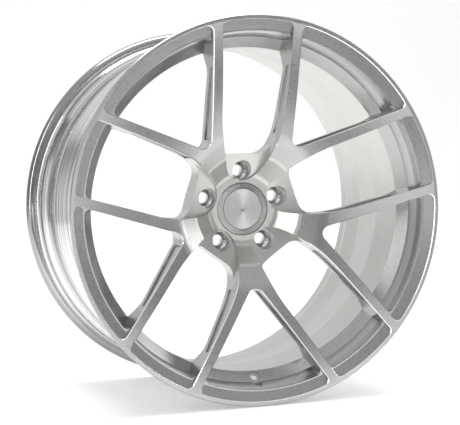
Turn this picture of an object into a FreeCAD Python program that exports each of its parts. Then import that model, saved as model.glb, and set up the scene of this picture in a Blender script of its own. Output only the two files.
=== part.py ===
import FreeCAD, Part
import math
import os
import Sketcher
from FreeCAD import Placement, Rotation, Vector

# Forged racing wheel rim, 20 x 11.5 inch, 5 x 112 mm, five pairs of spokes in a V.
# The axle runs along Y and the face looks towards -Y. The origin is on the axle, at
# the middle of the width. A size called a depth is a distance from that middle plane
# towards the face, so its y is negative.

SIZES = {
    # rim contour on the tyre side
    "bead_radius": 256.4,
    "flange_height": 17.3,
    "half_width": 146.05,
    "flange_depth": 11.0,
    "flange_curl": 9.5,
    "seat_low_radius": 254.7,
    "seat_length": 21.0,
    "hump_radius": 255.9,
    "hump_depth": 119.5,
    "leg_top_radius": 254.3,
    "leg_top_depth": 114.5,
    "well_radius": 239.1,
    "well_front_depth": 97.3,
    "well_back": 28.0,
    "rear_ledge_radius": 250.0,
    "rear_ledge_start": 54.0,
    "rear_ledge_end": 109.0,
    # inside of the rim
    "lip_radius": 267.0,
    "band_radius": 254.1,
    "band_depth": 148.3,
    "ledge_radius": 249.6,
    "ledge_depth": 133.6,
    "ridge_radius": 246.2,
    "ridge_depth": 113.8,
    "joint_radius": 232.0,
    "joint_depth": 101.0,
    "rear_inner_radius": 243.4,
    "rear_throat_radius": 249.4,
    "rear_throat_start": 122.0,
    "rear_throat_end": 140.0,
    # spoke face and back
    "face_arc": 800.0,
    "shoulder_radius": 108.5,
    "shoulder_depth": 118.7,
    "cone_radius": 78.0,
    "cone_depth": 98.5,
    "dish_radius": 51.0,
    "dish_depth": 72.6,
    "spoke_back_radius": 208.0,
    "spoke_back_depth": 118.0,
    "root_back_radius": 118.0,
    "root_back_depth": 76.0,
    # spoke outline in the wheel's plane
    "crotch_vertex": 102.6,
    "crotch_angle": 34.2,
    "crotch_round": 12.0,
    "window_round": 8.0,
    "lug_side_width": 47.7,
    "lug_side_angle": 2.6,
    "lug_side_arc": 200.0,
    "lug_round": 29.0,
    "lug_round_start": 41.5,
    "pad_edge": 80.5,
    "pad_corner": 20.0,
    "edge_bevel": 1.1,
    # milled pocket in both flanks of a spoke
    "flank_pocket": 2.3,
    "flank_start": 118.0,
    "flank_start_front": 118.0,
    "flank_start_back": 87.0,
    "flank_middle": 160.0,
    "flank_middle_front": 127.5,
    "flank_end": 211.0,
    "flank_end_front": 140.0,
    "flank_end_back": 130.0,
    # turned roundings
    "dish_foot_round": 14.0,
    "shoulder_round": 60.0,
    "back_end_round": 12.0,
    "bead_foot_round": 5.0,
    "ledge_round": 6.0,
    "well_bend_round": 30.0,
    # hub
    "mount_depth": 40.0,
    "mount_radius": 78.0,
    "bore_radius": 33.3,
    "bore_end": 51.0,
    "cap_bore_radius": 32.3,
    "cap_recess_radius": 38.7,
    "cap_recess_depth": 66.0,
    "lug_circle": 56.0,
    "stud_hole": 8.0,
    "seat_hole": 8.2,
    "seat_radius": 14.55,
    "lug_pocket": 14.6,
    "lug_pocket_depth": 58.0,
    "seat_thickness": 8.0,
    "seat_mouth": 12.9,
    "pad_inner_radius": 40.0,
    "pad_inner_depth": 66.6,
    "pad_outer_radius": 90.0,
    "pad_outer_depth": 85.0,
    # weld between the two forgings
    "weld_root_radius": 236.1,
    "weld_root_depth": 92.5,
    "weld_front": 94.0,
    "weld_middle": 90.5,
    "weld_back": 87.0,
    "weld_crown": 0.8,
    # valve hole in the drop well's front leg
    "valve_radius": 239.3,
    "valve_depth": 107.6,
    "valve_hole": 5.65,
    "valve_spot": 8.2,
    "valve_spot_depth": 0.8,
    "valve_relief": 10.5,
    # centre cap
    "cap_radius": 38.3,
    "cap_depth": 73.0,
    "cap_back": 66.3,
    "cap_edge": 0.9,
    "cap_groove": 29.5,
    "cap_groove_half_width": 0.6,
    "cap_crown": 0.5,
    "tick_start": 31.8,
    "tick_end": 35.7,
    "tick_half_width": 0.45,
    "tick_floor": 72.65,
    "carrier_radius": 31.9,
    "carrier_bore": 28.0,
    "carrier_depth": 52.0,
    "carrier_plate": 63.1,
    "carrier_centre_hole": 9.0,
    "finger_slot_half_width": 1.5,
    "finger_slot_length": 6.4,
    "wire_circle": 27.85,
    "wire_radius": 0.8,
    "wire_depth": 55.2,
    "cord_circle": 31.08,
    "cord_radius": 1.2,
    "cord_depth": 60.5,
    "cord_groove": 29.85,
    "cord_groove_half_width": 1.3,
    "screw_circle": 20.0,
    "screw_radius": 1.45,
    "screw_hole": 1.55,
    "screw_tip": 70.0,
    "screw_hole_end": 70.4,
    "screw_head": 2.8,
    "screw_head_top": 61.1,
}

SPOKE_PAIRS = 5
PITCH = 360.0 / SPOKE_PAIRS
LUG_ANGLE = 90.0
PAIR_ANGLE = LUG_ANGLE + PITCH / 2
CAP_TICKS = 60
CAP_FINGERS = 6
CAP_SCREWS = 3

doc = FreeCAD.newDocument("RacingWheelRim")
sheet = doc.addObject("Spreadsheet::Sheet", "Sizes")
for row, (alias, value) in enumerate(SIZES.items(), start=1):
    sheet.set("A%d" % row, alias)
    sheet.set("B%d" % row, str(value))
    sheet.setAlias("B%d" % row, alias)
doc.recompute()


def terms(expression):
    """Splits a sum such as 'bead_radius + flange_height - 9' into signed terms."""
    for term in str(expression).replace("-", "+-").split("+"):
        term = term.strip()
        if term:
            yield (-1.0 if term[0] == "-" else 1.0), term.lstrip("-").strip()


def value_of(expression):
    """The number that such a sum stands for."""
    return sum(sign * (SIZES[name] if name in SIZES else float(name))
               for sign, name in terms(expression))


def bound(expression):
    """The same sum, written for setExpression."""
    text = "0"
    for sign, name in terms(expression):
        text += (" - " if sign < 0 else " + ") + ("Sizes." + name if name in SIZES else name)
    return text


def origin_item(body, role):
    return [item for item in body.Origin.OriginFeatures if item.Role == role][0]


def new_body(name):
    body = doc.addObject("PartDesign::Body", name)
    body.Label = name
    return body


def new_sketch(body, name, plane, angle=0.0, depth=0.0):
    """A sketch on one of the body's origin planes, turned about the axle by an angle."""
    sketch = body.newObject("Sketcher::SketchObject", name)
    sketch.AttachmentSupport = [(origin_item(body, plane), "")]
    sketch.MapMode = "FlatFace"
    turn = Rotation(Vector(0, 0, 1), angle)
    sketch.AttachmentOffset = Placement(Vector(0, 0, depth), turn)
    return sketch


def pin(sketch, kind, geometry, vertex, expression, name):
    """Holds one coordinate of a vertex at a sum of the sheet's sizes."""
    constraint = Sketcher.Constraint(kind, -1, 1, geometry, vertex, value_of(expression))
    index = sketch.addConstraint(constraint)
    sketch.renameConstraint(index, name)
    sketch.setExpression("Constraints." + name, bound(expression))


def hold_radius(sketch, geometry, expression, name):
    index = sketch.addConstraint(Sketcher.Constraint("Radius", geometry, value_of(expression)))
    sketch.renameConstraint(index, name)
    sketch.setExpression("Constraints." + name, bound(expression))


def arc_between(start, end, radius, side):
    """The short arc from start to end, bulging to the left (side 1) or right (side -1)."""
    chord = end - start
    middle = (start + end) * 0.5
    normal = Vector(-chord.y, chord.x, 0)
    normal.normalize()
    sagitta = radius - math.sqrt(radius ** 2 - (chord.Length / 2) ** 2)
    return Part.Arc(start, middle + normal * sagitta * side, end)


def closed_outline(sketch, corners, arcs=None):
    """A closed loop through corners given as pairs of sums of the sheet's sizes.

    arcs maps the number of the corner that an arc starts from to its (radius, side).
    """
    arcs = arcs or {}
    places = [Vector(value_of(x), value_of(y), 0) for x, y in corners]
    count = len(places)
    for index, start in enumerate(places):
        end = places[(index + 1) % count]
        if index in arcs:
            radius, side = arcs[index]
            sketch.addGeometry(arc_between(start, end, value_of(radius), side), False)
        else:
            sketch.addGeometry(Part.LineSegment(start, end), False)
    begins = [start_vertex(sketch, index, places[index]) for index in range(count)]
    for index in range(count):
        after = (index + 1) % count
        end_vertex = 3 - begins[index]
        sketch.addConstraint(Sketcher.Constraint(
            "Coincident", index, end_vertex, after, begins[after]))
    for index, (x, y) in enumerate(corners):
        pin(sketch, "DistanceX", index, begins[index], x, "x%d" % index)
        pin(sketch, "DistanceY", index, begins[index], y, "y%d" % index)
    for index, (radius, side) in arcs.items():
        hold_radius(sketch, index, radius, "arc%d" % index)
    return sketch


def section(body, name, corners, arcs=None):
    """A closed section through the axle: x is a radius, y runs along the axle."""
    return closed_outline(new_sketch(body, name, "XY_Plane"), corners, arcs)


def round_section(body, name, radius, centre):
    """A circle in a plane through the axle, round a (radius, y) centre."""
    sketch = new_sketch(body, name, "XY_Plane")
    place = Vector(value_of(centre[0]), value_of(centre[1]), 0)
    sketch.addGeometry(Part.Circle(place, Vector(0, 0, 1), value_of(radius)), False)
    pin(sketch, "DistanceX", 0, 3, centre[0], "x0")
    pin(sketch, "DistanceY", 0, 3, centre[1], "y0")
    hold_radius(sketch, 0, radius, "r0")
    return sketch


def hole_circle(sketch, circle, radius):
    """A circle on the sketch's x axis, for holes on a pitch circle."""
    sketch.addGeometry(Part.Circle(Vector(value_of(circle), 0, 0), Vector(0, 0, 1),
                                   value_of(radius)), False)
    sketch.addConstraint(Sketcher.Constraint("PointOnObject", 0, 3, -1))
    pin(sketch, "DistanceX", 0, 3, circle, "circle")
    hold_radius(sketch, 0, radius, "hole")
    return sketch


def start_vertex(sketch, geometry, place):
    """1 or 2: the end of a line or arc that lies at a place."""
    return 1 if sketch.getPoint(geometry, 1).distanceToPoint(place) < 1e-4 else 2


def turned(body, sketch, name="Turned"):
    """Turns a section about the axle."""
    feature = body.newObject("PartDesign::Revolution", name)
    feature.Profile = sketch
    feature.ReferenceAxis = (sketch, ["V_Axis"])
    feature.Angle = 360.0
    body.Tip = feature
    doc.recompute()
    return feature


def ring_edges(shape, rings):
    """The names of the circular edges around the axle at given (radius, y) places."""
    names = []
    for radius, y in rings:
        for index, edge in enumerate(shape.Edges, start=1):
            curve = edge.Curve
            if not isinstance(curve, Part.Circle):
                continue
            near_radius = abs(curve.Radius - value_of(radius)) < 0.02
            if near_radius and abs(curve.Center.y - value_of(y)) < 0.02:
                names.append("Edge%d" % index)
    return names


def round_rings(body, base, rings, radius, name):
    """Rounds the corners of a turned body."""
    feature = body.newObject("PartDesign::Fillet", name)
    feature.Base = (base, ring_edges(base.Shape, rings))
    feature.setExpression("Radius", bound(radius))
    body.Tip = feature
    doc.recompute()
    return feature


def extrude(body, sketch, length, name="Prism", reverse=False):
    """Extrudes a sketch along the axle, towards the face unless reversed."""
    pad = body.newObject("PartDesign::Pad", name)
    pad.Profile = sketch
    pad.Length = length
    pad.Reversed = reverse
    body.Tip = pad
    doc.recompute()
    return pad


def repeat(body, feature, count, name="Repeat"):
    """Repeats a feature evenly round the axle."""
    pattern = body.newObject("PartDesign::PolarPattern", name)
    pattern.Originals = [feature]
    pattern.Axis = (origin_item(body, "Y_Axis"), [""])
    pattern.Angle = 360.0
    pattern.Occurrences = count
    body.Tip = pattern
    doc.recompute()
    return pattern


def combine(kind, name, *shapes):
    """A Part boolean of document objects: Cut, Common or MultiFuse."""
    feature = doc.addObject("Part::" + kind, name)
    if kind == "MultiFuse":
        feature.Shapes = list(shapes)
    else:
        feature.Base, feature.Tool = shapes
    doc.recompute()
    return feature


# ---------------------------------------------------------------- window outlines

def tangent_loop(sketch, pieces, radii, name):
    """Adds lines and arcs that run on from each other smoothly into one closed loop."""
    first = sketch.GeometryCount
    for piece, start, end in pieces:
        sketch.addGeometry(piece, False)
    count = len(pieces)
    for index, (piece, start, end) in enumerate(pieces):
        after = (index + 1) % count
        own_end = start_vertex(sketch, first + index, end)
        next_start = start_vertex(sketch, first + after, pieces[after][1])
        sketch.addConstraint(Sketcher.Constraint(
            "Coincident", first + index, own_end, first + after, next_start))
    for index, expression in radii.items():
        hold_radius(sketch, first + index, expression, "%s%d" % (name, index))


def polar(radius, angle):
    return Vector(radius * math.cos(angle), radius * math.sin(angle), 0)


def through(start, middle, end):
    return Part.Arc(start, middle, end), start, end


def straight(start, end):
    return Part.LineSegment(start, end), start, end


def mirrored(place):
    return Vector(place.x, -place.y, 0)


def corner_on_rim(side_point, side_angle, rim_radius, corner):
    """Where a rounded corner leaves a straight side and meets the rim's circle.

    The side runs outwards through side_point at side_angle, above the middle line.
    """
    along = Vector(math.cos(side_angle), math.sin(side_angle), 0)
    inward = Vector(along.y, -along.x, 0)
    base = side_point + inward * corner
    dot = base.dot(along)
    reach = -dot + math.sqrt(dot ** 2 - base.Length ** 2 + (rim_radius - corner) ** 2)
    centre = base + along * reach
    on_side = centre - inward * corner
    on_rim = centre * (rim_radius / centre.Length)
    bulge = (on_side - centre) + (on_rim - centre)
    bulge.normalize()
    return on_side, centre + bulge * corner, on_rim


def pair_window(sketch, rim_radius, grow=0.0):
    """The wide window between the two spokes of a V, on the sketch's x axis."""
    slope = math.radians(SIZES["crotch_angle"])
    round_radius = SIZES["crotch_round"]
    vertex = SIZES["crotch_vertex"] - grow / math.sin(slope)
    centre = Vector(vertex + round_radius / math.sin(slope), 0, 0)
    upper = centre + polar(round_radius, slope + math.pi / 2)
    on_side, bend, on_rim = corner_on_rim(upper, slope, rim_radius, SIZES["window_round"])
    pieces = [
        through(mirrored(upper), centre - Vector(round_radius, 0, 0), upper),
        straight(upper, on_side),
        through(on_side, bend, on_rim),
        through(on_rim, Vector(rim_radius, 0, 0), mirrored(on_rim)),
        through(mirrored(on_rim), mirrored(bend), mirrored(on_side)),
        straight(mirrored(on_side), mirrored(upper)),
    ]
    radii = {0: "crotch_round", 2: "window_round", 4: "window_round"}
    tangent_loop(sketch, pieces, radii, "pair")


def lug_side(grow=0.0):
    """The side of the narrow window: a straight run, then a long bend to the lug.

    Returns a point and the angle of the straight run, and the bend's centre.
    """
    angle = math.radians(SIZES["lug_side_angle"])
    anchor = Vector(150.0, SIZES["lug_side_width"] + grow, 0)
    inward = Vector(math.sin(angle), -math.cos(angle), 0)
    along = Vector(math.cos(angle), math.sin(angle), 0)
    lug_centre = Vector(SIZES["lug_round_start"] + SIZES["lug_round"], 0, 0)
    base = anchor + inward * (SIZES["lug_side_arc"] + grow) - lug_centre
    gap = SIZES["lug_side_arc"] - SIZES["lug_round"]
    dot = base.dot(along)
    reach = -dot + math.sqrt(dot ** 2 - base.Length ** 2 + gap ** 2)
    centre = base + along * reach + lug_centre
    return angle, centre, centre - inward * (SIZES["lug_side_arc"] + grow)


def lug_window(sketch, rim_radius, foot, foot_round, grow=0.0):
    """The narrow window over a lug, on the sketch's x axis, closed by a flat foot."""
    angle, bend_centre, run_start = lug_side(grow)
    bend = SIZES["lug_side_arc"] + grow
    on_side, corner, on_rim = corner_on_rim(run_start, angle, rim_radius,
                                            SIZES["window_round"])
    across = foot + foot_round - bend_centre.x
    foot_centre = Vector(foot + foot_round,
                         bend_centre.y + math.sqrt((bend - foot_round) ** 2 - across ** 2), 0)
    away = foot_centre - bend_centre
    away.normalize()
    on_bend = bend_centre + away * bend
    on_foot = Vector(foot, foot_centre.y, 0)
    foot_bulge = (on_bend - foot_centre) + (on_foot - foot_centre)
    foot_bulge.normalize()
    foot_bulge = foot_centre + foot_bulge * foot_round
    long_bulge = (on_bend - bend_centre) + (run_start - bend_centre)
    long_bulge.normalize()
    long_bulge = bend_centre + long_bulge * bend
    pieces = [
        straight(mirrored(on_foot), on_foot),
        through(on_foot, foot_bulge, on_bend),
        through(on_bend, long_bulge, run_start),
        straight(run_start, on_side),
        through(on_side, corner, on_rim),
        through(on_rim, Vector(rim_radius, 0, 0), mirrored(on_rim)),
        through(mirrored(on_rim), mirrored(corner), mirrored(on_side)),
        straight(mirrored(on_side), mirrored(run_start)),
        through(mirrored(run_start), mirrored(long_bulge), mirrored(on_bend)),
        through(mirrored(on_bend), mirrored(foot_bulge), mirrored(on_foot)),
    ]
    tangent_loop(sketch, pieces, {4: "window_round", 6: "window_round"}, "lug")


def lug_pocket_outline(sketch, end):
    """The U round a lug, open towards the rim and closed inside the window."""
    angle, bend_centre, run_start = lug_side()
    radius = SIZES["lug_round"]
    lug_centre = Vector(SIZES["lug_round_start"] + radius, 0, 0)
    away = lug_centre - bend_centre
    away.normalize()
    on_bend = lug_centre + away * radius
    bend = SIZES["lug_side_arc"]
    top = Vector(end, bend_centre.y + math.sqrt(bend ** 2 - (end - bend_centre.x) ** 2), 0)
    long_bulge = (on_bend - bend_centre) + (top - bend_centre)
    long_bulge.normalize()
    long_bulge = bend_centre + long_bulge * bend
    pieces = [
        through(mirrored(on_bend), Vector(SIZES["lug_round_start"], 0, 0), on_bend),
        through(on_bend, long_bulge, top),
        straight(top, mirrored(top)),
        through(mirrored(top), mirrored(long_bulge), mirrored(on_bend)),
    ]
    tangent_loop(sketch, pieces, {0: "lug_round", 1: "lug_side_arc"}, "lug")


def window_prisms(name, draw, angle, front, back):
    """Five prisms of one window outline, from y = -front to y = -back."""
    body = new_body(name)
    sketch = new_sketch(body, name + "_outline", "XZ_Plane", angle, back)
    draw(sketch)
    pad = extrude(body, sketch, front - back)
    repeat(body, pad, SPOKE_PAIRS)
    return body


# ------------------------------------------------------------------ face forging

FRONT = "- half_width - flange_depth"
FLANGE = "bead_radius + flange_height"

blank = new_body("face_blank")
blank_corners = [
    ("bore_radius", "- mount_depth"),
    ("bore_radius", "- bore_end"),
    ("cap_bore_radius", "- bore_end"),
    ("cap_bore_radius", "- cap_recess_depth"),
    ("cap_recess_radius", "- cap_recess_depth"),
    ("cap_recess_radius", "- dish_depth"),
    ("dish_radius", "- dish_depth"),
    ("cone_radius", "- cone_depth"),
    ("shoulder_radius", "- shoulder_depth"),
    ("lip_radius + 1", FRONT),
    (FLANGE + " - 1.2", FRONT),
    (FLANGE, "- half_width - flange_curl"),
    (FLANGE + " - flange_curl", "- half_width"),
    ("bead_radius", "- half_width"),
    ("seat_low_radius", "- half_width + seat_length"),
    ("hump_radius", "- hump_depth"),
    ("leg_top_radius", "- leg_top_depth"),
    ("well_radius", "- well_front_depth"),
    ("well_radius", "- weld_front"),
    ("weld_root_radius", "- weld_root_depth"),
    ("joint_radius", "- joint_depth"),
    ("spoke_back_radius", "- spoke_back_depth"),
    ("root_back_radius", "- root_back_depth"),
    ("mount_radius + 2", "- mount_depth - 3"),
    ("mount_radius", "- mount_depth"),
]
blank_section = section(blank, "blank_section", blank_corners,
                        {8: ("face_arc", -1), 11: ("flange_curl", -1)})
blank_turned = turned(blank, blank_section)

blank_tip = round_rings(blank, blank_turned, [("dish_radius", "- dish_depth")],
                        "dish_foot_round", "Dish_foot")
blank_tip = round_rings(blank, blank_tip, [("shoulder_radius", "- shoulder_depth")],
                        "shoulder_round", "Dish_shoulder")
blank_tip = round_rings(blank, blank_tip, [("spoke_back_radius", "- spoke_back_depth")],
                        "back_end_round", "Spoke_back_end")
blank_tip = round_rings(blank, blank_tip, [("bead_radius", "- half_width")],
                        "bead_foot_round", "Bead_foot")

# The windows stop at the turned inside of the rim: a cone behind the lip, a band under
# the bead seat, a ridge, and the front leg of the drop well.
limit = new_body("window_limit")
limit_section = section(limit, "window_limit_section", [
    ("0", "- half_width - flange_depth - 20"),
    ("lip_radius", "- half_width - flange_depth - 20"),
    ("lip_radius", "- half_width - flange_depth + 4"),
    ("band_radius", "- band_depth"),
    ("ledge_radius", "- ledge_depth"),
    ("ridge_radius", "- ridge_depth"),
    ("joint_radius", "- joint_depth"),
    ("joint_radius", "0"),
    ("0", "0"),
])
limit_turned = turned(limit, limit_section)
round_rings(limit, limit_turned, [("ledge_radius", "- ledge_depth")], "ledge_round", "Ledge")

LIP = SIZES["lip_radius"]
DEEP = SIZES["ledge_radius"] + 2.5
WINDOW_FRONT = SIZES["half_width"] + SIZES["flange_depth"] + 15.0
LUG_OPEN = (SIZES["pad_edge"], SIZES["pad_corner"])

front_pair = window_prisms("front_pair_windows", lambda s: pair_window(s, LIP),
                           PAIR_ANGLE, WINDOW_FRONT, SIZES["band_depth"] - 0.5)
deep_pair = window_prisms("deep_pair_windows", lambda s: pair_window(s, DEEP),
                          PAIR_ANGLE, WINDOW_FRONT, 0.0)
front_lug = window_prisms("front_lug_windows", lambda s: lug_window(s, LIP, *LUG_OPEN),
                          LUG_ANGLE, WINDOW_FRONT, SIZES["band_depth"] - 0.5)
deep_lug = window_prisms("deep_lug_windows", lambda s: lug_window(s, DEEP, *LUG_OPEN),
                         LUG_ANGLE, WINDOW_FRONT, 0.0)
windows = combine("MultiFuse", "window_prisms", front_pair, deep_pair, front_lug, deep_lug)
window_cutter = combine("Common", "window_cutter", windows, limit)

# The lug pads are cut down into the dish, each in a U that opens into its window.
pad_limit = new_body("pad_limit")
pad_section = section(pad_limit, "pad_limit_section", [
    ("30", "- half_width"),
    ("110", "- half_width"),
    ("110", "- pad_outer_depth - 8"),
    ("pad_outer_radius", "- pad_outer_depth"),
    ("pad_inner_radius", "- pad_inner_depth"),
    ("30", "- pad_inner_depth"),
])
turned(pad_limit, pad_section)
pad_prisms = window_prisms("pad_prisms", lambda s: lug_pocket_outline(s, 96.0),
                           LUG_ANGLE, SIZES["half_width"], 50.0)
pad_cutter = combine("Common", "pad_cutter", pad_prisms, pad_limit)

# Both flanks of every spoke are milled back between the face edge and the back rib.
GROW = SIZES["flank_pocket"]
flank_limit = new_body("flank_limit")
flank_section = section(flank_limit, "flank_limit_section", [
    ("flank_start", "- flank_start_front"),
    ("flank_middle", "- flank_middle_front"),
    ("flank_end", "- flank_end_front"),
    ("flank_end", "- flank_end_back"),
    ("flank_start", "- flank_start_back"),
])
turned(flank_limit, flank_section)
flank_pairs = window_prisms("flank_pair_prisms", lambda s: pair_window(s, DEEP, GROW),
                            PAIR_ANGLE, SIZES["half_width"], 60.0)
flank_lugs = window_prisms("flank_lug_prisms",
                           lambda s: lug_window(s, DEEP, SIZES["pad_edge"],
                                                SIZES["pad_corner"], GROW),
                           LUG_ANGLE, SIZES["half_width"], 60.0)
flank_prisms = combine("MultiFuse", "flank_prisms", flank_pairs, flank_lugs)
flank_cutter = combine("Common", "flank_cutter", flank_prisms, flank_limit)

opened = combine("Cut", "opened_disc", blank, window_cutter)


# A small bevel runs round the front edge of every window. Its cutter is a square bar,
# set on its corner and swept along the edge.
AXLE = Vector(0, 1, 0)
FACE_BAND = 1.5


def face_y(radius):
    """About where the face lies at a radius: the dish's cone, then the spokes' chord."""
    shoulder = (SIZES["shoulder_radius"], -SIZES["shoulder_depth"])
    if radius < shoulder[0]:
        inner, outer = (SIZES["cone_radius"], -SIZES["cone_depth"]), shoulder
    else:
        inner, outer = shoulder, (value_of("lip_radius + 1"), value_of(FRONT))
    slope = (outer[1] - inner[1]) / (outer[0] - inner[0])
    return inner[1] + (radius - inner[0]) * slope


def tilt(face, place):
    """How far a face looks along the axle at a place: -1 is straight to the front."""
    u, v = face.Surface.parameter(place)
    return face.normalAt(u, v).y


def window_rims(shape):
    """The closed front edge of every window, as lists of edges in order."""
    found = []
    for edge in shape.Edges:
        place = edge.valueAt((edge.FirstParameter + edge.LastParameter) / 2)
        radius = math.hypot(place.x, place.z)
        on_spokes = SIZES["cone_radius"] < radius < value_of("lip_radius + 0.5")
        if not on_spokes or place.y > face_y(radius) + FACE_BAND:
            continue
        tilts = sorted((tilt(face, place) for face in shape.ancestorsOfType(edge, Part.Face)),
                       key=abs)
        if len(tilts) == 2 and abs(tilts[0]) < 0.05 and tilts[1] < -0.5:
            found.append(edge)
    return Part.sortEdges(found)


def bevel_bar(edges, size):
    """A square bar on its corner, swept along a closed line of edges."""
    path = Part.Wire(edges)
    first = path.OrderedEdges[0]
    ends = (first.FirstParameter, first.LastParameter)
    at_start = ends[0] if first.Orientation == "Forward" else ends[1]
    corner = first.valueAt(at_start)
    across = first.tangentAt(at_start).cross(AXLE)
    across.normalize()
    square = [corner + across * size, corner + AXLE * size,
              corner - across * size, corner - AXLE * size]
    sweep = Part.BRepOffsetAPI.MakePipeShell(path)
    sweep.setBiNormalMode(AXLE)
    sweep.add(Part.makePolygon(square + square[:1]))
    sweep.build()
    sweep.makeSolid()
    return sweep.shape()


bevel_cutter = doc.addObject("Part::Feature", "bevel_cutter")
bevel_cutter.Shape = Part.makeCompound([bevel_bar(rim, SIZES["edge_bevel"])
                                        for rim in window_rims(opened.Shape)])
bevelled = combine("Cut", "bevelled_disc", opened, bevel_cutter)
padded = combine("Cut", "padded_disc", bevelled, pad_cutter)
milled = combine("Cut", "milled_disc", padded, flank_cutter)

# Lug pockets, stud holes and the valve hole are drilled last. The pocket drill ends in
# front of the whole hub, and the stud drill runs from behind the hub face into the pocket.
POCKET_DRILL_END = 130.0
STUD_DRILL_END = 60.0
STUD_DRILL_RUN_OUT = 5.0
drills = new_body("lug_drills")
drill_pads = []
for name, radius, start, stop in (
        ("lug_pocket_circle", "lug_pocket",
         SIZES["lug_pocket_depth"] - SIZES["seat_thickness"], POCKET_DRILL_END),
        ("stud_hole_circle", "stud_hole",
         SIZES["mount_depth"] - STUD_DRILL_RUN_OUT, STUD_DRILL_END)):
    sketch = new_sketch(drills, name, "XZ_Plane", LUG_ANGLE, start)
    hole_circle(sketch, "lug_circle", radius)
    drill_pads.append(extrude(drills, sketch, stop - start, name + "_drill"))
pattern = drills.newObject("PartDesign::PolarPattern", "Five_lugs")
pattern.Originals = drill_pads
pattern.Axis = (origin_item(drills, "Y_Axis"), [""])
pattern.Angle = 360.0
pattern.Occurrences = SPOKE_PAIRS
drills.Tip = pattern
doc.recompute()

# The valve hole stands square to the drop well's front leg, opposite the top lug.
leg_radial = SIZES["ridge_radius"] - SIZES["joint_radius"]
leg_axial = SIZES["ridge_depth"] - SIZES["joint_depth"]
valve_axis = Vector(0, leg_radial, -leg_axial)
valve_axis.normalize()
valve_mouth = Vector(0, -SIZES["valve_depth"], -SIZES["valve_radius"])


def drill_cylinder(name, radius, height, base, axis):
    drill = doc.addObject("Part::Cylinder", name)
    drill.setExpression("Radius", bound(radius))
    drill.Height = height
    drill.Placement = Placement(base, Rotation(Vector(0, 0, 1), axis))
    return drill


valve_through = drill_cylinder("valve_through", "valve_hole", 40.0,
                               valve_mouth - valve_axis * 20.0, valve_axis)
valve_spot = drill_cylinder("valve_spot_face", "valve_spot", 12.0,
                            valve_mouth + valve_axis * SIZES["valve_spot_depth"],
                            valve_axis * -1.0)
valve_relief = drill_cylinder("valve_relief_cut", "valve_relief", 60.0,
                              Vector(0, -SIZES["ridge_depth"], -SIZES["valve_radius"]),
                              Vector(0, -1, 0))
tools = combine("MultiFuse", "drill_set", drills, valve_through, valve_spot, valve_relief)
face = combine("Cut", "face_forging", milled, tools)
face.Label = "face_forging"

# ------------------------------------------------------------------------ barrel

REAR = "half_width + flange_depth"
barrel = new_body("barrel")
barrel_corners = [
    ("joint_radius", "- joint_depth"),
    ("weld_root_radius", "- weld_root_depth"),
    ("well_radius", "- weld_back"),
    ("well_radius", "- well_back"),
    ("rear_ledge_radius", "rear_ledge_start"),
    ("rear_ledge_radius", "rear_ledge_end"),
    ("hump_radius", "hump_depth"),
    ("seat_low_radius", "half_width - seat_length"),
    ("bead_radius", "half_width"),
    (FLANGE + " - flange_curl", "half_width"),
    (FLANGE, "half_width + flange_curl"),
    (FLANGE + " - 1.2", REAR),
    ("lip_radius - 2", REAR),
    ("rear_throat_radius", "rear_throat_end"),
    ("rear_throat_radius", "rear_throat_start"),
    ("rear_inner_radius", "rear_ledge_end - 8"),
    ("rear_inner_radius", "rear_ledge_start"),
    ("joint_radius", "- well_back - 4"),
]
barrel_section = section(barrel, "barrel_section", barrel_corners, {9: ("flange_curl", -1)})
barrel_tip = turned(barrel, barrel_section)
for name, rings, radius in (
        ("Rear_bead_foot", [("bead_radius", "half_width")], "bead_foot_round"),
        ("Well_bends", [("well_radius", "- well_back"),
                        ("joint_radius", "- well_back - 4")], "well_bend_round"),
        ("Ledge_bends", [("rear_ledge_radius", "rear_ledge_start"),
                         ("rear_inner_radius", "rear_ledge_start")], "well_bend_round"),
        ("Throat", [("rear_throat_radius", "rear_throat_start"),
                    ("rear_throat_radius", "rear_throat_end")], "ledge_round")):
    barrel_tip = round_rings(barrel, barrel_tip, rings, radius, name)

weld = new_body("seam_weld")
weld_section = section(weld, "seam_weld_section", [
    ("weld_root_radius", "- weld_root_depth"),
    ("well_radius", "- weld_front"),
    ("well_radius + weld_crown", "- weld_middle"),
    ("well_radius", "- weld_back"),
])
turned(weld, weld_section)

# ------------------------------------------------------- steel seats for the bolts

seats = []
for number in range(1, SPOKE_PAIRS + 1):
    seat = new_body("lug_seat_%d" % number)
    turned(seat, section(seat, "seat_section_%d" % number, [
        ("seat_hole", "0"),
        ("seat_radius", "0"),
        ("seat_radius", "- seat_thickness"),
        ("seat_mouth", "- seat_thickness"),
        ("seat_hole", "- 0.8"),
    ]))
    seat_angle = math.radians(LUG_ANGLE + PITCH * (number - 1))
    seat_place = polar(SIZES["lug_circle"], seat_angle)
    seat_y = SIZES["seat_thickness"] - SIZES["lug_pocket_depth"]
    seat.Placement = Placement(Vector(seat_place.x, seat_y, seat_place.y), Rotation())
    seats.append(seat)

# ------------------------------------------------------------------- centre cap


# Long enough to leave the cap through its face.
TICK_CUT = 4.0


def pocket(body, sketch, length, name):
    """Cuts a sketch's outline out of a body, towards the face."""
    feature = body.newObject("PartDesign::Pocket", name)
    feature.Profile = sketch
    feature.Length = length
    feature.Reversed = True
    body.Tip = feature
    doc.recompute()
    return feature


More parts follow.
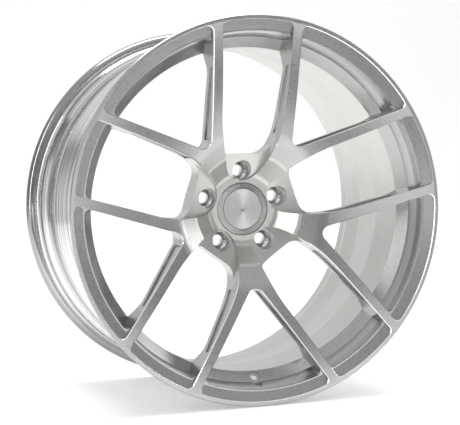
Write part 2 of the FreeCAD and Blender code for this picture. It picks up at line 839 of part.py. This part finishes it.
cap = new_body("cap_face")
turned(cap, section(cap, "cap_face_section", [
    ("0", "- cap_back"),
    ("cap_radius", "- cap_back"),
    ("cap_radius", "- cap_depth + cap_edge"),
    ("cap_radius - cap_edge", "- cap_depth"),
    ("cap_groove + cap_groove_half_width", "- cap_depth - cap_crown"),
    ("cap_groove", "- cap_depth + 0.3"),
    ("cap_groove - cap_groove_half_width", "- cap_depth - cap_crown"),
    ("0", "- cap_depth + 0.2"),
]))
tick_sketch = new_sketch(cap, "tick_outline", "XZ_Plane", 0.0, SIZES["tick_floor"])
closed_outline(tick_sketch, [
    ("tick_start", "- tick_half_width"),
    ("tick_end", "- tick_half_width"),
    ("tick_end", "tick_half_width"),
    ("tick_start", "tick_half_width"),
])
repeat(cap, pocket(cap, tick_sketch, TICK_CUT, "Tick"), CAP_TICKS, "Tick_ring")
thread_sketch = new_sketch(cap, "screw_thread_outline", "XZ_Plane", 90.0, SIZES["carrier_depth"])
hole_circle(thread_sketch, "screw_circle", "screw_hole")
thread_reach = SIZES["screw_hole_end"] - SIZES["carrier_depth"]
repeat(cap, pocket(cap, thread_sketch, thread_reach, "Screw_thread"), CAP_SCREWS,
       "Screw_threads")

# The carrier is the moulded ring behind the cap: a plate, a groove for the sealing cord
# and slotted fingers that a sprung wire pushes outwards into the hub's bore.
carrier = new_body("cap_carrier")
turned(carrier, section(carrier, "cap_carrier_section", [
    ("carrier_centre_hole", "- cap_back"),
    ("carrier_radius", "- cap_back"),
    ("carrier_radius", "- cord_depth - cord_groove_half_width"),
    ("cord_groove", "- cord_depth - cord_groove_half_width"),
    ("cord_groove", "- cord_depth + cord_groove_half_width"),
    ("carrier_radius", "- cord_depth + cord_groove_half_width"),
    ("carrier_radius", "- carrier_depth - 1.5"),
    ("carrier_radius - 1.2", "- carrier_depth"),
    ("carrier_bore", "- carrier_depth"),
    ("carrier_bore", "- wire_depth + 1"),
    ("carrier_bore + 1", "- wire_depth"),
    ("carrier_bore", "- wire_depth - 1"),
    ("carrier_bore", "- carrier_plate"),
    ("carrier_centre_hole", "- carrier_plate"),
]))
slot_sketch = new_sketch(carrier, "finger_slot_outline", "XZ_Plane", 0.0,
                         SIZES["carrier_depth"])
closed_outline(slot_sketch, [
    ("carrier_bore - 3", "- finger_slot_half_width"),
    ("carrier_radius + 3", "- finger_slot_half_width"),
    ("carrier_radius + 3", "finger_slot_half_width"),
    ("carrier_bore - 3", "finger_slot_half_width"),
])
repeat(carrier, pocket(carrier, slot_sketch, SIZES["finger_slot_length"], "Finger_slot"),
       CAP_FINGERS, "Finger_slots")
screw_hole_sketch = new_sketch(carrier, "screw_hole_outline", "XZ_Plane", 90.0,
                               SIZES["carrier_depth"])
hole_circle(screw_hole_sketch, "screw_circle", "screw_hole")
repeat(carrier, pocket(carrier, screw_hole_sketch, thread_reach, "Screw_hole"), CAP_SCREWS,
       "Screw_holes")

spring_ring = new_body("cap_spring_ring")
turned(spring_ring, round_section(spring_ring, "wire_section", "wire_radius",
                                  ("wire_circle", "- wire_depth")))
o_ring = new_body("cap_o_ring")
turned(o_ring, round_section(o_ring, "cord_section", "cord_radius",
                             ("cord_circle", "- cord_depth")))

screws = new_body("cap_screws")
head_sketch = new_sketch(screws, "screw_head_outline", "XZ_Plane", 90.0,
                         SIZES["screw_head_top"])
hole_circle(head_sketch, "screw_circle", "screw_head")
shank_sketch = new_sketch(screws, "screw_shank_outline", "XZ_Plane", 90.0,
                          SIZES["screw_head_top"])
hole_circle(shank_sketch, "screw_circle", "screw_radius")
screw_pads = [
    extrude(screws, head_sketch, SIZES["carrier_plate"] - SIZES["screw_head_top"], "Screw_head"),
    extrude(screws, shank_sketch, SIZES["screw_tip"] - SIZES["screw_head_top"], "Screw_shank"),
]
screw_pattern = screws.newObject("PartDesign::PolarPattern", "Three_screws")
screw_pattern.Originals = screw_pads
screw_pattern.Axis = (origin_item(screws, "Y_Axis"), [""])
screw_pattern.Angle = 360.0
screw_pattern.Occurrences = CAP_SCREWS
screws.Tip = screw_pattern
doc.recompute()

# -------------------------------------------------------------------- writing

nodes = [face, barrel, weld] + seats + [cap, carrier, spring_ring, o_ring, screws]
for item in doc.Objects:
    if "Invalid" in item.State or "Error" in item.State:
        raise RuntimeError("%s did not compute" % item.Name)
os.makedirs("parts", exist_ok=True)
for node in nodes:
    if node.Shape.isNull() or not node.Shape.isValid():
        raise RuntimeError("%s did not build" % node.Label)
    print(node.Label, len(node.Shape.Solids), round(node.Shape.Volume / 1000, 1))
    node.Shape.exportStep("parts/%s.step" % node.Label)
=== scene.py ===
import math

import bpy
from mathutils import Matrix, Vector


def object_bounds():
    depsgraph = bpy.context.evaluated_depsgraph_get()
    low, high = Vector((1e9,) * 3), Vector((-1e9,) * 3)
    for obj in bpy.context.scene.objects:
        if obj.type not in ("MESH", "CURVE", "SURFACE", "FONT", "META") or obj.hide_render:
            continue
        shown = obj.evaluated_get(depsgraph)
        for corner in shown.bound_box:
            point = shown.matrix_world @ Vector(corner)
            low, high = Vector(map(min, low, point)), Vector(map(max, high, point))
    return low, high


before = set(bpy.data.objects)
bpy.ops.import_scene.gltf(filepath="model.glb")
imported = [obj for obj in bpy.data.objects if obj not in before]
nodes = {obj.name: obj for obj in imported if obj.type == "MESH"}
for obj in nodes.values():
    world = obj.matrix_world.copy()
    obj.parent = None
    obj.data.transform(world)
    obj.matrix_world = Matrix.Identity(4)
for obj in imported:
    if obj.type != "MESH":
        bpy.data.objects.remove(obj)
cad_bounds = [list(map(float, corner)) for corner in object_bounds()]

GROUND = cad_bounds[0][2]
# The turned edge where the brushed forging ends inside the rim, in metres.
FINISH_EDGE_Y = -0.1012
# How far behind the face a bevel still counts as one for the painted highlight, in metres.
BEVEL_REACH = 0.003
# The bevels' tilt along the axle and the radii they lie between, in metres, which place the
# painted highlight.
BEVEL_LEAN = (-0.82, -0.5)
BEVEL_RING = (0.084, 0.2695)
# Where the face lies along the axle: depth at the axle, and its change per metre of radius.
SPOKE_LINE = (-0.0926, -0.2404)
DISH_LINE = (-0.0469, -0.662)

# The backdrop: where its floor starts, where its wall stands and how high, and the radius
# and facets of the bend between them.
FLOOR_START = -30.0
WALL_Y = 4.5
WALL_HEIGHT = 5.0
WALL_BEND = 1.6
BEND_STEPS = 16
HALF_WIDTH = 30.0
# The floor lies this far under the wheel, so that the two don't share a plane.
BACKDROP_GAP = 0.0005
# A faint glow of its own keeps the paper white.
BACKDROP_GLOW = 0.27


# ------------------------------------------------------------------ node helpers

class Graph:
    """A material's node tree, with short calls for the nodes used here."""

    def __init__(self, name):
        self.material = bpy.data.materials.new(name)
        self.material.use_nodes = True
        self.tree = self.material.node_tree
        self.shader = self.tree.nodes["Principled BSDF"]
        self.place = self.node("ShaderNodeTexCoord").outputs["Object"]

    def node(self, kind, **values):
        made = self.tree.nodes.new(kind)
        for key, value in values.items():
            setattr(made, key, value)
        return made

    def put(self, value, socket):
        if isinstance(value, bpy.types.NodeSocket):
            self.tree.links.new(value, socket)
        else:
            socket.default_value = value

    def maths(self, operation, first, second=0.0):
        made = self.node("ShaderNodeMath", operation=operation)
        self.put(first, made.inputs[0])
        self.put(second, made.inputs[1])
        return made.outputs[0]

    def axis(self):
        """The object's x, y and z as three sockets."""
        split = self.node("ShaderNodeSeparateXYZ")
        self.put(self.place, split.inputs[0])
        return split.outputs

    def radius(self):
        """Distance from the wheel's axle."""
        x, y, z = self.axis()
        return self.maths("SQRT", self.maths(
            "ADD", self.maths("MULTIPLY", x, x), self.maths("MULTIPLY", z, z)))

    def turned(self, round_scale, along_scale, angle_scale):
        """Coordinates that follow turning marks: radius, depth and angle, each scaled."""
        x, y, z = self.axis()
        radius = self.radius()
        angle = self.maths("ARCTAN2", z, x)
        joined = self.node("ShaderNodeCombineXYZ")
        self.put(self.maths("MULTIPLY", radius, round_scale), joined.inputs[0])
        self.put(self.maths("MULTIPLY", y, along_scale), joined.inputs[1])
        self.put(self.maths("MULTIPLY", angle, angle_scale), joined.inputs[2])
        return joined.outputs[0]

    def noise(self, vector, scale, detail=4.0, rough=0.6):
        made = self.node("ShaderNodeTexNoise")
        self.put(vector, made.inputs["Vector"])
        made.inputs["Scale"].default_value = scale
        made.inputs["Detail"].default_value = detail
        made.inputs["Roughness"].default_value = rough
        return made.outputs["Fac"]

    def spread(self, value, low, high, floor=0.25, ceiling=0.75):
        """Maps a noise to a range."""
        made = self.node("ShaderNodeMapRange")
        self.put(value, made.inputs["Value"])
        made.inputs["From Min"].default_value = floor
        made.inputs["From Max"].default_value = ceiling
        made.inputs["To Min"].default_value = low
        made.inputs["To Max"].default_value = high
        return made.outputs["Result"]

    def blend(self, factor, first, second):
        """A colour between two colours."""
        made = self.node("ShaderNodeMix", data_type="RGBA")
        self.put(factor, made.inputs["Factor"])
        self.put(first, made.inputs[6])
        self.put(second, made.inputs[7])
        return made.outputs[2]

    def mix(self, factor, first, second):
        """A number between two numbers."""
        made = self.node("ShaderNodeMix", data_type="FLOAT")
        self.put(factor, made.inputs["Factor"])
        self.put(first, made.inputs[2])
        self.put(second, made.inputs[3])
        return made.outputs[0]

    def bump(self, height, strength, distance):
        made = self.node("ShaderNodeBump")
        made.inputs["Strength"].default_value = strength
        made.inputs["Distance"].default_value = distance
        self.put(height, made.inputs["Height"])
        self.put(made.outputs["Normal"], self.shader.inputs["Normal"])

    def set(self, **values):
        for key, value in values.items():
            self.put(value, self.shader.inputs[key.replace("_", " ")])

    def between(self, value, low, high):
        """1 where a value lies between two levels, else 0."""
        return self.maths("MULTIPLY", self.maths("GREATER_THAN", value, low),
                          self.maths("LESS_THAN", value, high))

    def line(self, value, start, slope):
        """start + slope * value."""
        return self.maths("ADD", self.maths("MULTIPLY", value, slope), start)

    def edge(self, value, level, width=0.0008):
        """0 below a level, 1 above it, with a narrow step between."""
        return self.spread(value, 0.0, 1.0, level - width / 2, level + width / 2)


def shade(red, green, blue):
    return (red, green, blue, 1.0)


# --------------------------------------------------------------------- materials

def painted_bevel_highlight_mask(graph):
    """1 on the bevels round the windows, which look half forwards and half sideways: where the
    face gets its painted highlight.
    """
    geometry = graph.node("ShaderNodeNewGeometry")
    split = graph.node("ShaderNodeSeparateXYZ")
    graph.put(geometry.outputs["True Normal"], split.inputs[0])
    lean = split.outputs[1]
    radius = graph.radius()
    tilted = graph.between(lean, *BEVEL_LEAN)
    ring = graph.between(radius, *BEVEL_RING)
    face = graph.maths("MAXIMUM", graph.line(radius, *SPOKE_LINE),
                       graph.line(radius, *DISH_LINE))
    depth = graph.maths("ADD", face, BEVEL_REACH)
    near_face = graph.maths("LESS_THAN", graph.axis()[1], depth)
    return graph.maths("MULTIPLY", graph.maths("MULTIPLY", tilted, ring), near_face)


def forged_face():
    """Brushed face and stepped lip, with a painted highlight on the window bevels; plain
    machined behind the turned edge.
    """
    graph = Graph("brushed_forging")
    speckle = graph.noise(graph.place, 620.0, 3.0, 0.62)
    cloud = graph.noise(graph.place, 22.0, 4.0, 0.55)
    ring = graph.noise(graph.turned(1.0, 1.0, 0.03), 700.0, 3.0, 0.7)
    grain = graph.mix(0.35, speckle, ring)
    behind = graph.edge(graph.axis()[1], FINISH_EDGE_Y)
    painted_bevel_highlight = painted_bevel_highlight_mask(graph)
    face_tone = graph.blend(graph.spread(grain, 0.0, 1.0), shade(0.38, 0.38, 0.375),
                            shade(0.56, 0.56, 0.555))
    face_tone = graph.blend(graph.spread(cloud, 0.0, 0.25), face_tone,
                            shade(0.36, 0.36, 0.355))
    back_tone = graph.blend(graph.spread(cloud, 0.0, 1.0), shade(0.54, 0.55, 0.53),
                            shade(0.62, 0.63, 0.61))
    # Painted highlight: the bevels round the windows are painted near white and a little
    # glossier.
    face_tone = graph.blend(painted_bevel_highlight, face_tone, shade(0.93, 0.93, 0.93))
    face_rough = graph.mix(painted_bevel_highlight, graph.spread(grain, 0.22, 0.40), 0.2)
    rough = graph.mix(behind, face_rough, graph.spread(cloud, 0.34, 0.42))
    graph.set(Base_Color=graph.blend(behind, face_tone, back_tone), Metallic=1.0,
              Roughness=rough)
    graph.bump(grain, 0.07, 0.0005)
    return graph.material


def barrel_metal():
    """Polished on the tyre side, with light and dark bands painted round it as painted
    reflection; satin inside.
    """
    graph = Graph("polished_barrel")
    cloud = graph.noise(graph.place, 18.0, 4.0, 0.55)
    rings = graph.noise(graph.turned(1.0, 1.0, 0.05), 1400.0, 2.0, 0.5)
    x, _, z = graph.axis()
    geometry = graph.node("ShaderNodeNewGeometry")
    facing = graph.node("ShaderNodeVectorMath", operation="DOT_PRODUCT")
    outward = graph.node("ShaderNodeCombineXYZ")
    graph.put(x, outward.inputs[0])
    graph.put(z, outward.inputs[2])
    graph.put(geometry.outputs["True Normal"], facing.inputs[0])
    graph.put(outward.outputs[0], facing.inputs[1])
    outside = graph.spread(facing.outputs["Value"], 0.0, 1.0, -0.002, 0.002)
    inner_tone = graph.blend(graph.spread(cloud, 0.0, 1.0), shade(0.50, 0.51, 0.49),
                             shade(0.60, 0.61, 0.59))
    # Painted reflection: light and dark bands along the axle, painted into the polished tyre
    # side's colour.
    painted_reflection_bands = graph.noise(graph.turned(0.0, 1.0, 0.0), 110.0, 2.0, 0.5)
    polished_tone_with_painted_reflection = graph.blend(graph.spread(painted_reflection_bands, 0.0, 1.0, 0.38, 0.62),
                             shade(0.34, 0.34, 0.34), shade(0.84, 0.84, 0.84))
    rough = graph.mix(outside, graph.spread(cloud, 0.34, 0.44),
                      graph.spread(rings, 0.12, 0.20))
    graph.set(Base_Color=graph.blend(outside, inner_tone, polished_tone_with_painted_reflection), Metallic=1.0,
              Roughness=rough)
    graph.bump(rings, 0.03, 0.0003)
    return graph.material


def spun_cap():
    """A cap spun on a lathe, its brush marks running round the axle."""
    graph = Graph("spun_cap")
    rings = graph.noise(graph.turned(1.0, 1.0, 0.02), 2600.0, 3.0, 0.7)
    sweep = graph.noise(graph.turned(0.0, 0.0, 1.6), 1.0, 2.0, 0.5)
    tone = graph.blend(graph.spread(rings, 0.0, 1.0), shade(0.36, 0.36, 0.355),
                       shade(0.62, 0.62, 0.61))
    graph.set(Base_Color=tone, Metallic=1.0, Roughness=graph.spread(rings, 0.22, 0.36))
    graph.set(Anisotropic=0.9)
    tangent = graph.node("ShaderNodeTangent", direction_type="RADIAL", axis="Y")
    graph.put(tangent.outputs[0], graph.shader.inputs["Tangent"])
    graph.bump(graph.mix(0.15, rings, sweep), 0.12, 0.0003)
    return graph.material


def turned_steel(name, dark, light, low, high):
    """Small bright metal parts with fine tool marks."""
    graph = Graph(name)
    marks = graph.noise(graph.place, 1100.0, 3.0, 0.6)
    tone = graph.blend(graph.spread(marks, 0.0, 1.0), dark, light)
    graph.set(Base_Color=tone, Metallic=1.0, Roughness=graph.spread(marks, low, high))
    graph.bump(marks, 0.05, 0.0003)
    return graph.material


def weld_bead():
    """Overlapping ripples of a machine weld."""
    graph = Graph("weld_ripples")
    x, _, z = graph.axis()
    angle = graph.maths("ARCTAN2", z, x)
    ripples = graph.maths("SINE", graph.maths("MULTIPLY", angle, 720.0))
    cloud = graph.noise(graph.place, 300.0, 3.0, 0.6)
    tone = graph.blend(graph.spread(cloud, 0.0, 1.0), shade(0.55, 0.54, 0.53),
                       shade(0.72, 0.72, 0.71))
    graph.set(Base_Color=tone, Metallic=1.0, Roughness=graph.spread(cloud, 0.28, 0.45))
    graph.bump(graph.spread(ripples, 0.0, 1.0, -1.0, 1.0), 0.4, 0.0004)
    return graph.material


def moulded(name, dark, light, low, high):
    """Moulded plastic or rubber with a fine spark-eroded grain."""
    graph = Graph(name)
    grain = graph.noise(graph.place, 1800.0, 2.0, 0.5)
    tone = graph.blend(graph.spread(grain, 0.0, 1.0), dark, light)
    graph.set(Base_Color=tone, Roughness=graph.spread(grain, low, high))
    graph.bump(grain, 0.15, 0.0003)
    return graph.material


def paint(node, material):
    """Gives a CAD node's every material slot one material."""
    slots = nodes[node].material_slots
    if not slots:
        nodes[node].data.materials.append(material)
    for slot in slots:
        slot.material = material


seat_steel = turned_steel("turned_seat_steel", shade(0.60, 0.60, 0.60),
                          shade(0.78, 0.78, 0.78), 0.14, 0.24)
screw_steel = turned_steel("screw_steel", shade(0.45, 0.45, 0.46), shade(0.62, 0.62, 0.63),
                           0.25, 0.38)
wire_steel = turned_steel("spring_wire_steel", shade(0.42, 0.42, 0.43),
                          shade(0.58, 0.58, 0.60), 0.2, 0.35)
paint("face_forging", forged_face())
paint("barrel", barrel_metal())
paint("seam_weld", weld_bead())
paint("cap_face", spun_cap())
paint("cap_carrier", moulded("moulded_carrier", shade(0.018, 0.018, 0.019),
                             shade(0.035, 0.035, 0.036), 0.42, 0.6))
paint("cap_o_ring", moulded("seal_rubber", shade(0.012, 0.012, 0.012),
                            shade(0.025, 0.025, 0.025), 0.6, 0.8))
paint("cap_spring_ring", wire_steel)
paint("cap_screws", screw_steel)
for number in range(1, 6):
    paint("lug_seat_%d" % number, seat_steel)


# ------------------------------------------------------------------------- stage

def backdrop():
    """A pale floor that curves up into a wall behind the wheel."""
    bend_start = WALL_Y - WALL_BEND
    profile = [(FLOOR_START, 0.0), (bend_start, 0.0)]
    for step in range(1, BEND_STEPS + 1):
        angle = math.pi / 2 * step / BEND_STEPS
        profile.append((bend_start + WALL_BEND * math.sin(angle),
                        WALL_BEND - WALL_BEND * math.cos(angle)))
    profile.append((WALL_Y, WALL_HEIGHT))
    points = [(side * HALF_WIDTH, y, z + GROUND - BACKDROP_GAP)
              for y, z in profile for side in (-1, 1)]
    faces = [(2 * k, 2 * k + 1, 2 * k + 3, 2 * k + 2) for k in range(len(profile) - 1)]
    mesh = bpy.data.meshes.new("backdrop")
    mesh.from_pydata(points, [], faces)
    for face in mesh.polygons:
        face.use_smooth = True
    made = bpy.data.objects.new("backdrop", mesh)
    bpy.context.scene.collection.objects.link(made)
    graph = Graph("backdrop_paper")
    speck = graph.noise(graph.place, 60.0, 3.0, 0.5)
    graph.set(Base_Color=graph.blend(graph.spread(speck, 0.0, 1.0), shade(0.90, 0.90, 0.90),
                                     shade(0.93, 0.93, 0.93)), Roughness=0.9)
    graph.shader.inputs["Specular IOR Level"].default_value = 0.1
    graph.shader.inputs["Emission Color"].default_value = (1.0, 1.0, 1.0, 1.0)
    graph.shader.inputs["Emission Strength"].default_value = BACKDROP_GLOW
    mesh.materials.append(graph.material)


def aim(thing, place, target):
    """Stands a thing at a place with its -Z side towards a target."""
    thing.location = place
    thing.rotation_euler = (Vector(target) - Vector(place)).to_track_quat("-Z", "Y").to_euler()
    bpy.context.scene.collection.objects.link(thing)


def softbox(name, place, target, width, height, power):
    """A white area light."""
    light = bpy.data.lights.new(name, "AREA")
    light.shape = "RECTANGLE"
    light.size = width
    light.size_y = height
    light.energy = power
    aim(bpy.data.objects.new(name, light), place, target)


def flag(name, place, target, width, height, level):
    """A dark card that metal reflects. The camera doesn't see it, but light bounces off it."""
    mesh = bpy.data.meshes.new(name)
    half_w, half_h = width / 2, height / 2
    mesh.from_pydata([(-half_w, -half_h, 0), (half_w, -half_h, 0), (half_w, half_h, 0),
                      (-half_w, half_h, 0)], [], [(0, 1, 2, 3)])
    made = bpy.data.objects.new(name, mesh)
    aim(made, place, target)
    graph = Graph(name + "_cloth")
    weave = graph.noise(graph.place, 80.0, 2.0, 0.5)
    graph.set(Base_Color=graph.blend(weave, shade(level, level, level),
                                     shade(level * 1.2, level * 1.2, level * 1.2)),
              Roughness=0.95)
    mesh.materials.append(graph.material)
    made.visible_camera = False
    made.visible_shadow = False


WHEEL = (0.0, 0.0, 0.0)
backdrop()
softbox("top_box", (0.0, 0.1, 2.4), WHEEL, 2.0, 0.9, 54.0)
softbox("left_strip", (-2.5, -1.3, 0.9), WHEEL, 0.35, 2.2, 18.0)
softbox("right_strip", (2.5, -0.7, 1.0), WHEEL, 0.35, 2.0, 15.0)
softbox("front_low_strip", (0.5, -3.2, -0.15), WHEEL, 2.2, 0.25, 6.0)
flag("left_flag", (-2.0, 1.25, 0.2), WHEEL, 0.75, 3.0, 0.10)
flag("left_narrow_flag", (-1.35, 2.5, 0.2), WHEEL, 0.22, 3.0, 0.10)
flag("floor_flag", (0.0, -2.1, GROUND + 0.003), (0.0, -2.1, 5.0), 4.0, 2.6, 0.16)


def studio_world():
    """Soft light from above that dims towards the horizon."""
    made = bpy.data.worlds.new("studio")
    made.use_nodes = True
    tree = made.node_tree
    coordinates = tree.nodes.new("ShaderNodeTexCoord")
    split = tree.nodes.new("ShaderNodeSeparateXYZ")
    ramp = tree.nodes.new("ShaderNodeMapRange")
    ramp.interpolation_type = "SMOOTHSTEP"
    ramp.inputs["From Min"].default_value = 0.0
    ramp.inputs["From Max"].default_value = 0.8
    ramp.inputs["To Min"].default_value = 0.20
    ramp.inputs["To Max"].default_value = 0.75
    tree.links.new(coordinates.outputs["Generated"], split.inputs[0])
    tree.links.new(split.outputs[2], ramp.inputs["Value"])
    tree.links.new(ramp.outputs["Result"], tree.nodes["Background"].inputs["Strength"])
    tree.nodes["Background"].inputs["Color"].default_value = (1.0, 1.0, 1.0, 1.0)
    return made


bpy.context.scene.world = studio_world()
bpy.context.scene.view_settings.view_transform = "Standard"


# ------------------------------------------------------------------------ camera

AZIMUTH, ELEVATION, ROLL = (math.radians(a) for a in (-18.8806, 2.6509, -1.2728))
DISTANCE = 2.0514
LENS = 106.86
SHIFT = (0.00809, -0.01183)
back = Vector((math.sin(AZIMUTH) * math.cos(ELEVATION),
               -math.cos(AZIMUTH) * math.cos(ELEVATION), math.sin(ELEVATION)))
level = Vector((math.cos(AZIMUTH), math.sin(AZIMUTH), 0.0))
upright = back.cross(level)
right = level * math.cos(ROLL) + upright * math.sin(ROLL)
up = upright * math.cos(ROLL) - level * math.sin(ROLL)

camera_data = bpy.data.cameras.new("camera")
camera_data.sensor_fit = "HORIZONTAL"
camera_data.sensor_width = 36.0
camera_data.lens = LENS
camera_data.shift_x, camera_data.shift_y = SHIFT
camera_data.clip_end = 60.0
camera = bpy.data.objects.new("camera", camera_data)
turn = Matrix((right, up, back)).transposed().to_4x4()
camera.matrix_world = Matrix.Translation(back * DISTANCE) @ turn
bpy.context.scene.collection.objects.link(camera)
bpy.context.scene.camera = camera
